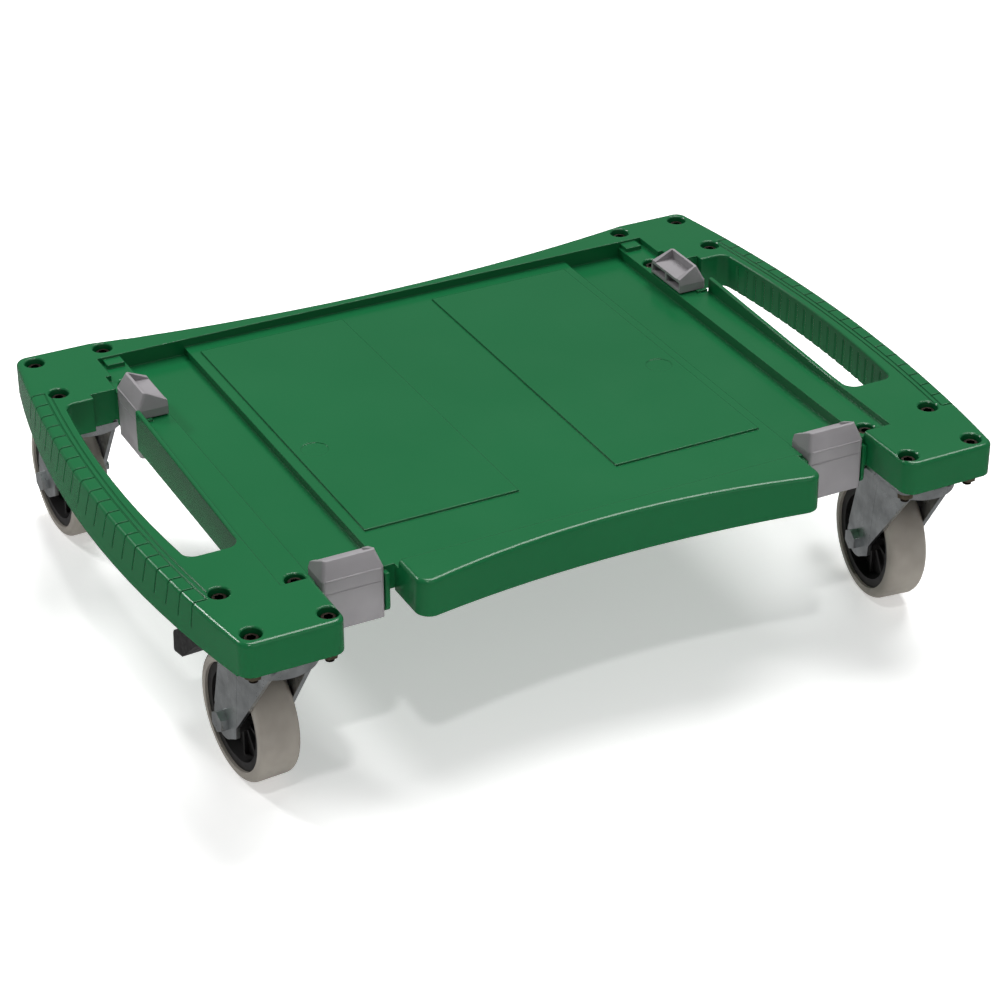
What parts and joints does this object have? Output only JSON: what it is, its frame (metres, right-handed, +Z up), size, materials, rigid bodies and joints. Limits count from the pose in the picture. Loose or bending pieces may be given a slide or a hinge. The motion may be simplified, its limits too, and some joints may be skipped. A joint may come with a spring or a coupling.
{
  "type": "tool case roll board",
  "caption": "Moulded roll board for stackable tool cases, with hand slots, sprung latches and braked swivel castors.",
  "frame": {"origin": "middle of the load floor, on the centre strip of the deck's top", "axes": "+X to the right along the board's length, +Y to the rear, +Z up from the load floor"},
  "size_m": [0.584, 0.4588, 0.1601],
  "materials": {
    "green_polypropylene": "fine-grained satin moulding",
    "grey_polyamide": "satin moulding",
    "grey_rubber": "smooth non-marking rubber",
    "black_polypropylene": "moulded",
    "black_polyamide": "moulded",
    "bright_zinc": "bright zinc plate",
    "yellow_zinc": "yellow zinc plate",
    "black_steel": "black oxide",
    "bearing_steel": "polished"
  },
  "bodies": {
    "deck": {"deck": "green_polypropylene", "deck_bolts": "black_steel", "deck_nuts": "yellow_zinc", "front_left_castor_plate": "bright_zinc", "front_left_kingpin": "bright_zinc", "front_left_latch_pin": "bright_zinc", "front_right_castor_plate": "bright_zinc", "front_right_kingpin": "bright_zinc", "front_right_latch_pin": "bright_zinc", "rear_left_castor_plate": "bright_zinc", "rear_left_kingpin": "bright_zinc", "rear_left_latch_pin": "bright_zinc", "rear_right_castor_plate": "bright_zinc", "rear_right_kingpin": "bright_zinc", "rear_right_latch_pin": "bright_zinc"},
    "front_left_swivel": {"front_left_fork": "bright_zinc", "front_left_axle_bolt": "bright_zinc", "front_left_axle_nut": "bright_zinc", "front_left_hub_sleeve": "bearing_steel", "front_left_swivel_balls": "bearing_steel", "front_left_pedal_pin": "bright_zinc"},
    "front_left_wheel": {"front_left_wheel_hub": "black_polypropylene", "front_left_tyre": "grey_rubber"},
    "front_left_latch": {"front_left_latch": "grey_polyamide", "front_left_latch_spring": "bearing_steel"},
    "front_left_pedal": {"front_left_brake_pedal": "black_polyamide", "front_left_brake_shoe": "bright_zinc"},
    "front_right_swivel": {"front_right_fork": "bright_zinc", "front_right_axle_bolt": "bright_zinc", "front_right_axle_nut": "bright_zinc", "front_right_hub_sleeve": "bearing_steel", "front_right_swivel_balls": "bearing_steel", "front_right_pedal_pin": "bright_zinc"},
    "front_right_wheel": {"front_right_wheel_hub": "black_polypropylene", "front_right_tyre": "grey_rubber"},
    "front_right_latch": {"front_right_latch": "grey_polyamide", "front_right_latch_spring": "bearing_steel"},
    "front_right_pedal": {"front_right_brake_pedal": "black_polyamide", "front_right_brake_shoe": "bright_zinc"},
    "rear_left_swivel": {"rear_left_fork": "bright_zinc", "rear_left_axle_bolt": "bright_zinc", "rear_left_axle_nut": "bright_zinc", "rear_left_hub_sleeve": "bearing_steel", "rear_left_swivel_balls": "bearing_steel"},
    "rear_left_wheel": {"rear_left_wheel_hub": "black_polypropylene", "rear_left_tyre": "grey_rubber"},
    "rear_left_latch": {"rear_left_latch": "grey_polyamide", "rear_left_latch_spring": "bearing_steel"},
    "rear_right_swivel": {"rear_right_fork": "bright_zinc", "rear_right_axle_bolt": "bright_zinc", "rear_right_axle_nut": "bright_zinc", "rear_right_hub_sleeve": "bearing_steel", "rear_right_swivel_balls": "bearing_steel"},
    "rear_right_wheel": {"rear_right_wheel_hub": "black_polypropylene", "rear_right_tyre": "grey_rubber"},
    "rear_right_latch": {"rear_right_latch": "grey_polyamide", "rear_right_latch_spring": "bearing_steel"}
  },
  "joints": [
    {"name": "front_left_swivel_turn", "type": "hinge", "parent": "deck", "child": "front_left_swivel", "pos_m": [-0.2335, -0.1685, -0.0175], "axis": [0, 0, 1], "continuous": true},
    {"name": "front_left_wheel_spin", "type": "hinge", "parent": "front_left_swivel", "child": "front_left_wheel", "pos_m": [-0.23629, -0.1286, -0.0965], "axis": [0.9976, 0.0698, 0], "continuous": true},
    {"name": "front_left_pedal_tilt", "type": "hinge", "parent": "front_left_swivel", "child": "front_left_pedal", "pos_m": [-0.23741, -0.11264, -0.044], "axis": [0.9976, 0.0698, 0], "range_deg": [-10, 0]},
    {"name": "front_left_latch_swing", "type": "hinge", "parent": "deck", "child": "front_left_latch", "pos_m": [-0.1758, -0.1529, -0.0259], "axis": [1, 0, 0], "range_deg": [0, 30], "stiffness_Nm_per_rad": 0.3, "springref_deg": -22.92},
    {"name": "front_right_swivel_turn", "type": "hinge", "parent": "deck", "child": "front_right_swivel", "pos_m": [0.2335, -0.1685, -0.0175], "axis": [0, 0, 1], "continuous": true},
    {"name": "front_right_wheel_spin", "type": "hinge", "parent": "front_right_swivel", "child": "front_right_wheel", "pos_m": [0.23838, -0.1288, -0.0965], "axis": [0.9925, -0.1219, 0], "continuous": true},
    {"name": "front_right_pedal_tilt", "type": "hinge", "parent": "front_right_swivel", "child": "front_right_pedal", "pos_m": [0.24033, -0.11292, -0.044], "axis": [0.9925, -0.1219, 0], "range_deg": [-10, 0]},
    {"name": "front_right_latch_swing", "type": "hinge", "parent": "deck", "child": "front_right_latch", "pos_m": [0.1758, -0.1529, -0.0259], "axis": [1, 0, 0], "range_deg": [0, 30], "stiffness_Nm_per_rad": 0.3, "springref_deg": -22.92},
    {"name": "rear_left_swivel_turn", "type": "hinge", "parent": "deck", "child": "rear_left_swivel", "pos_m": [-0.2335, 0.1685, -0.0175], "axis": [0, 0, 1], "continuous": true},
    {"name": "rear_left_wheel_spin", "type": "hinge", "parent": "rear_left_swivel", "child": "rear_left_wheel", "pos_m": [-0.2349, 0.20848, -0.0965], "axis": [0.9994, 0.0349, 0], "continuous": true},
    {"name": "rear_left_latch_swing", "type": "hinge", "parent": "deck", "child": "rear_left_latch", "pos_m": [-0.2161, 0.109, -0.0205], "axis": [0, -1, 0], "range_deg": [0, 30], "stiffness_Nm_per_rad": 0.3, "springref_deg": -22.92},
    {"name": "rear_right_swivel_turn", "type": "hinge", "parent": "deck", "child": "rear_right_swivel", "pos_m": [0.2335, 0.1685, -0.0175], "axis": [0, 0, 1], "continuous": true},
    {"name": "rear_right_wheel_spin", "type": "hinge", "parent": "rear_right_swivel", "child": "rear_right_wheel", "pos_m": [0.2342, 0.20849, -0.0965], "axis": [0.9998, -0.0175, 0], "continuous": true},
    {"name": "rear_right_latch_swing", "type": "hinge", "parent": "deck", "child": "rear_right_latch", "pos_m": [0.2161, 0.109, -0.0205], "axis": [0, 1, 0], "range_deg": [0, 30], "stiffness_Nm_per_rad": 0.3, "springref_deg": -22.92}
  ]
}
